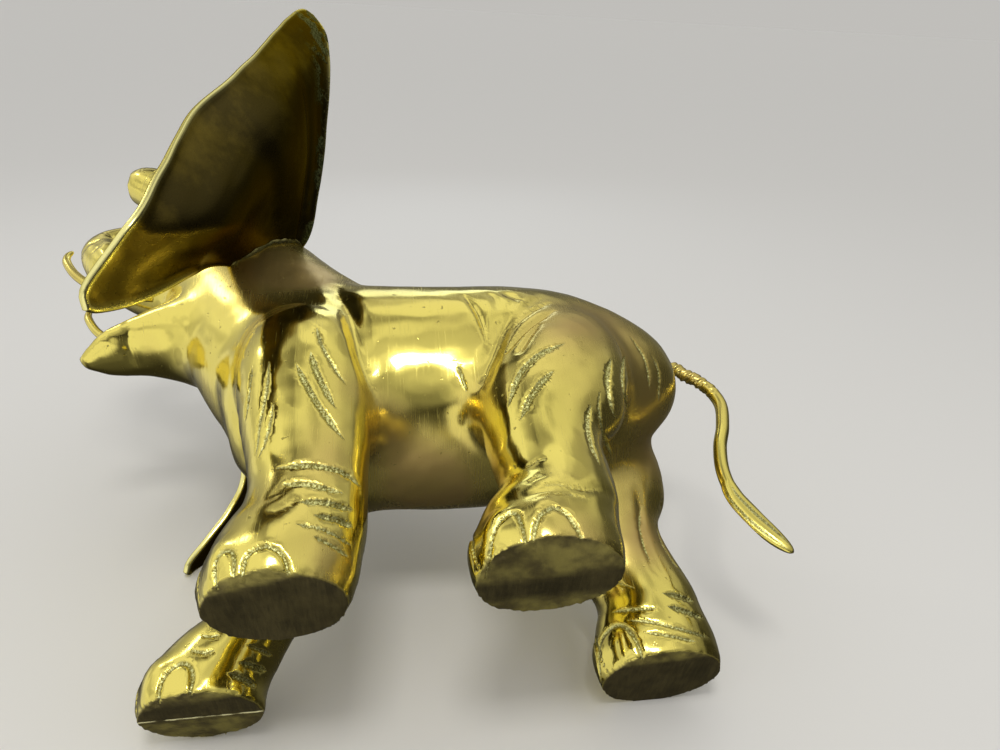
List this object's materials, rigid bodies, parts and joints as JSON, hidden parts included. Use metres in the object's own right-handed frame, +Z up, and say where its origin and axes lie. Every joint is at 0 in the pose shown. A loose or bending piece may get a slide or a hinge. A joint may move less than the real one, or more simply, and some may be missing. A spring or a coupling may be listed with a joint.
{
  "type": "elephant sculpture",
  "caption": "Walking elephant figure of cast brass with a raised trunk, spread ears, small tusks and a bent tail, standing on its flat soles.",
  "frame": {"origin": "on the ground under the middle of the bounding box", "axes": "+Z up, -Y the way the elephant faces, +X its left side"},
  "size_m": [0.263, 0.3646, 0.3689],
  "materials": {
    "polished_brass": "polished cast brass with grainy carved grooves",
    "darkened_brass": "cast brass sheet, dark with patina and bright at its edge"
  },
  "bodies": {
    "root": {"body": "polished_brass", "tail": "polished_brass", "left_tusk": "polished_brass", "right_tusk": "polished_brass", "left_ear": "darkened_brass", "right_ear": "darkened_brass"}
  },
  "joints": []
}
